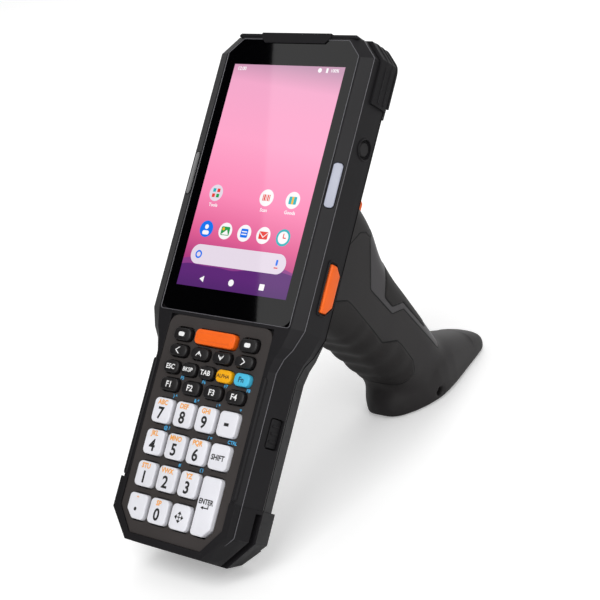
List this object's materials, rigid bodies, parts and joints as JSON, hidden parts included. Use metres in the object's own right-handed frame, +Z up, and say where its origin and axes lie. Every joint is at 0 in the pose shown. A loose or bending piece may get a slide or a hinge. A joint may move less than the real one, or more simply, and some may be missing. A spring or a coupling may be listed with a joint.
{
  "type": "portable barcode data terminal",
  "caption": "Rugged handheld data terminal with touch display, keypad, scan buttons and a pistol grip with a trigger and a flat foot.",
  "frame": {"origin": "on the floor under the middle of the terminal's box", "axes": "+Z up, the display faces -Y and up, +X to the right of someone who reads the display"},
  "size_m": [0.0802, 0.222, 0.1813],
  "materials": {
    "case_plastic": "fine moulded texture",
    "bumper_rubber": "satin elastomer",
    "cover_glass": "gloss",
    "display": "lit screen",
    "scan_glass": "dark red filter",
    "light_lens": "frosted",
    "panel_grey": "fine matt",
    "mat_rubber": "matt",
    "circuit_board": "solder resist",
    "battery_wrap": "film",
    "engine_metal": "black",
    "socket_metal": "plated",
    "screw_steel": "blackened",
    "grip_plastic": "fine moulded texture",
    "grip_rubber": "soft matt",
    "spine_grey": "satin",
    "orange_key": "satin",
    "yellow_key": "satin",
    "cyan_key": "satin",
    "white_key": "satin",
    "black_key": "satin"
  },
  "bodies": {
    "terminal": {"front_housing": "case_plastic", "rear_housing": "case_plastic", "touch_glass": "cover_glass", "display_module": "display", "keypad_panel": "panel_grey", "main_board": "circuit_board", "keypad_mat": "mat_rubber", "status_light_window": "light_lens", "usb_connector": "socket_metal", "battery_pack": "battery_wrap", "battery_door": "case_plastic", "scan_window": "scan_glass", "scan_engine": "engine_metal", "housing_screws": "screw_steel", "top_bumper": "bumper_rubber", "tail_bumper": "bumper_rubber", "grip_collar": "grip_plastic", "grip_rear_rubber": "grip_rubber", "grip_front_spine": "spine_grey", "grip_finger_pad": "grip_rubber", "grip_core": "grip_plastic", "trigger_pin": "screw_steel", "trigger_spring": "screw_steel"},
    "key_soft_left": {"key_soft_left": "black_key"},
    "key_soft_right": {"key_soft_right": "black_key"},
    "key_scan": {"key_scan": "orange_key"},
    "key_left": {"key_left": "black_key"},
    "key_up": {"key_up": "black_key"},
    "key_down": {"key_down": "black_key"},
    "key_right": {"key_right": "black_key"},
    "key_escape": {"key_escape": "black_key"},
    "key_backspace": {"key_backspace": "black_key"},
    "key_tab": {"key_tab": "black_key"},
    "key_letters": {"key_letters": "yellow_key"},
    "key_function": {"key_function": "cyan_key"},
    "key_f1": {"key_f1": "black_key"},
    "key_f2": {"key_f2": "black_key"},
    "key_f3": {"key_f3": "black_key"},
    "key_f4": {"key_f4": "black_key"},
    "key_7": {"key_7": "white_key"},
    "key_8": {"key_8": "white_key"},
    "key_9": {"key_9": "white_key"},
    "key_minus": {"key_minus": "white_key"},
    "key_4": {"key_4": "white_key"},
    "key_5": {"key_5": "white_key"},
    "key_6": {"key_6": "white_key"},
    "key_shift": {"key_shift": "white_key"},
    "key_1": {"key_1": "white_key"},
    "key_2": {"key_2": "white_key"},
    "key_3": {"key_3": "white_key"},
    "key_enter": {"key_enter": "white_key"},
    "key_point": {"key_point": "white_key"},
    "key_0": {"key_0": "white_key"},
    "key_navigate": {"key_navigate": "white_key"},
    "power_button": {"power_button": "grip_plastic"},
    "scan_button_right": {"scan_button_right": "orange_key"},
    "scan_button_left": {"scan_button_left": "orange_key"},
    "port_cover": {"port_cover": "bumper_rubber"},
    "trigger": {"trigger": "orange_key"},
    "battery_latch": {"battery_latch": "case_plastic"}
  },
  "joints": [
    {"name": "key_soft_left_press", "type": "slide", "parent": "terminal", "child": "key_soft_left", "axis": [0, 0.7771, -0.6293], "range_m": [0, 0.001], "stiffness_N_per_m": 800, "springref_m": -0.00015},
    {"name": "key_soft_right_press", "type": "slide", "parent": "terminal", "child": "key_soft_right", "axis": [0, 0.7771, -0.6293], "range_m": [0, 0.001], "stiffness_N_per_m": 800, "springref_m": -0.00015},
    {"name": "key_scan_press", "type": "slide", "parent": "terminal", "child": "key_scan", "axis": [0, 0.7771, -0.6293], "range_m": [0, 0.001], "stiffness_N_per_m": 1000, "springref_m": -0.00015},
    {"name": "key_left_press", "type": "slide", "parent": "terminal", "child": "key_left", "axis": [0, 0.7771, -0.6293], "range_m": [0, 0.001], "stiffness_N_per_m": 800, "springref_m": -0.00015},
    {"name": "key_up_press", "type": "slide", "parent": "terminal", "child": "key_up", "axis": [0, 0.7771, -0.6293], "range_m": [0, 0.001], "stiffness_N_per_m": 800, "springref_m": -0.00015},
    {"name": "key_down_press", "type": "slide", "parent": "terminal", "child": "key_down", "axis": [0, 0.7771, -0.6293], "range_m": [0, 0.001], "stiffness_N_per_m": 800, "springref_m": -0.00015},
    {"name": "key_right_press", "type": "slide", "parent": "terminal", "child": "key_right", "axis": [0, 0.7771, -0.6293], "range_m": [0, 0.001], "stiffness_N_per_m": 800, "springref_m": -0.00015},
    {"name": "key_escape_press", "type": "slide", "parent": "terminal", "child": "key_escape", "axis": [0, 0.7771, -0.6293], "range_m": [0, 0.001], "stiffness_N_per_m": 800, "springref_m": -0.00015},
    {"name": "key_backspace_press", "type": "slide", "parent": "terminal", "child": "key_backspace", "axis": [0, 0.7771, -0.6293], "range_m": [0, 0.001], "stiffness_N_per_m": 800, "springref_m": -0.00015},
    {"name": "key_tab_press", "type": "slide", "parent": "terminal", "child": "key_tab", "axis": [0, 0.7771, -0.6293], "range_m": [0, 0.001], "stiffness_N_per_m": 800, "springref_m": -0.00015},
    {"name": "key_letters_press", "type": "slide", "parent": "terminal", "child": "key_letters", "axis": [0, 0.7771, -0.6293], "range_m": [0, 0.001], "stiffness_N_per_m": 800, "springref_m": -0.00015},
    {"name": "key_function_press", "type": "slide", "parent": "terminal", "child": "key_function", "axis": [0, 0.7771, -0.6293], "range_m": [0, 0.001], "stiffness_N_per_m": 800, "springref_m": -0.00015},
    {"name": "key_f1_press", "type": "slide", "parent": "terminal", "child": "key_f1", "axis": [0, 0.7771, -0.6293], "range_m": [0, 0.001], "stiffness_N_per_m": 800, "springref_m": -0.00015},
    {"name": "key_f2_press", "type": "slide", "parent": "terminal", "child": "key_f2", "axis": [0, 0.7771, -0.6293], "range_m": [0, 0.001], "stiffness_N_per_m": 800, "springref_m": -0.00015},
    {"name": "key_f3_press", "type": "slide", "parent": "terminal", "child": "key_f3", "axis": [0, 0.7771, -0.6293], "range_m": [0, 0.001], "stiffness_N_per_m": 800, "springref_m": -0.00015},
    {"name": "key_f4_press", "type": "slide", "parent": "terminal", "child": "key_f4", "axis": [0, 0.7771, -0.6293], "range_m": [0, 0.001], "stiffness_N_per_m": 800, "springref_m": -0.00015},
    {"name": "key_7_press", "type": "slide", "parent": "terminal", "child": "key_7", "axis": [0, 0.7771, -0.6293], "range_m": [0, 0.001], "stiffness_N_per_m": 800, "springref_m": -0.00015},
    {"name": "key_8_press", "type": "slide", "parent": "terminal", "child": "key_8", "axis": [0, 0.7771, -0.6293], "range_m": [0, 0.001], "stiffness_N_per_m": 800, "springref_m": -0.00015},
    {"name": "key_9_press", "type": "slide", "parent": "terminal", "child": "key_9", "axis": [0, 0.7771, -0.6293], "range_m": [0, 0.001], "stiffness_N_per_m": 800, "springref_m": -0.00015},
    {"name": "key_minus_press", "type": "slide", "parent": "terminal", "child": "key_minus", "axis": [0, 0.7771, -0.6293], "range_m": [0, 0.001], "stiffness_N_per_m": 800, "springref_m": -0.00015},
    {"name": "key_4_press", "type": "slide", "parent": "terminal", "child": "key_4", "axis": [0, 0.7771, -0.6293], "range_m": [0, 0.001], "stiffness_N_per_m": 800, "springref_m": -0.00015},
    {"name": "key_5_press", "type": "slide", "parent": "terminal", "child": "key_5", "axis": [0, 0.7771, -0.6293], "range_m": [0, 0.001], "stiffness_N_per_m": 800, "springref_m": -0.00015},
    {"name": "key_6_press", "type": "slide", "parent": "terminal", "child": "key_6", "axis": [0, 0.7771, -0.6293], "range_m": [0, 0.001], "stiffness_N_per_m": 800, "springref_m": -0.00015},
    {"name": "key_shift_press", "type": "slide", "parent": "terminal", "child": "key_shift", "axis": [0, 0.7771, -0.6293], "range_m": [0, 0.001], "stiffness_N_per_m": 800, "springref_m": -0.00015},
    {"name": "key_1_press", "type": "slide", "parent": "terminal", "child": "key_1", "axis": [0, 0.7771, -0.6293], "range_m": [0, 0.001], "stiffness_N_per_m": 800, "springref_m": -0.00015},
    {"name": "key_2_press", "type": "slide", "parent": "terminal", "child": "key_2", "axis": [0, 0.7771, -0.6293], "range_m": [0, 0.001], "stiffness_N_per_m": 800, "springref_m": -0.00015},
    {"name": "key_3_press", "type": "slide", "parent": "terminal", "child": "key_3", "axis": [0, 0.7771, -0.6293], "range_m": [0, 0.001], "stiffness_N_per_m": 800, "springref_m": -0.00015},
    {"name": "key_enter_press", "type": "slide", "parent": "terminal", "child": "key_enter", "axis": [0, 0.7771, -0.6293], "range_m": [0, 0.001], "stiffness_N_per_m": 1000, "springref_m": -0.00015},
    {"name": "key_point_press", "type": "slide", "parent": "terminal", "child": "key_point", "axis": [0, 0.7771, -0.6293], "range_m": [0, 0.001], "stiffness_N_per_m": 800, "springref_m": -0.00015},
    {"name": "key_0_press", "type": "slide", "parent": "terminal", "child": "key_0", "axis": [0, 0.7771, -0.6293], "range_m": [0, 0.001], "stiffness_N_per_m": 800, "springref_m": -0.00015},
    {"name": "key_navigate_press", "type": "slide", "parent": "terminal", "child": "key_navigate", "axis": [0, 0.7771, -0.6293], "range_m": [0, 0.001], "stiffness_N_per_m": 800, "springref_m": -0.00015},
    {"name": "power_button_press", "type": "slide", "parent": "terminal", "child": "power_button", "axis": [-1, 0, 0], "range_m": [0, 0.0006], "stiffness_N_per_m": 3333.3, "springref_m": -0.00009},
    {"name": "scan_button_right_press", "type": "slide", "parent": "terminal", "child": "scan_button_right", "axis": [-1, 0, 0], "range_m": [0, 0.001], "stiffness_N_per_m": 2000, "springref_m": -0.00015},
    {"name": "scan_button_left_press", "type": "slide", "parent": "terminal", "child": "scan_button_left", "axis": [1, 0, 0], "range_m": [0, 0.001], "stiffness_N_per_m": 2000, "springref_m": -0.00015},
    {"name": "port_cover_hinge", "type": "hinge", "parent": "terminal", "child": "port_cover", "pos_m": [0.03095, -0.07406, 0.04928], "axis": [0, 0.7771, -0.6293], "range_deg": [0, 90]},
    {"name": "trigger_pull", "type": "hinge", "parent": "terminal", "child": "trigger", "pos_m": [0, 0.01429, 0.11754], "axis": [-1, 0, 0], "range_deg": [0, 6], "stiffness_Nm_per_rad": 0.6, "springref_deg": -8.59},
    {"name": "battery_latch_slide", "type": "slide", "parent": "terminal", "child": "battery_latch", "axis": [0, 0.6293, 0.7771], "range_m": [0, 0.003], "stiffness_N_per_m": 500, "springref_m": -0.0005}
  ]
}
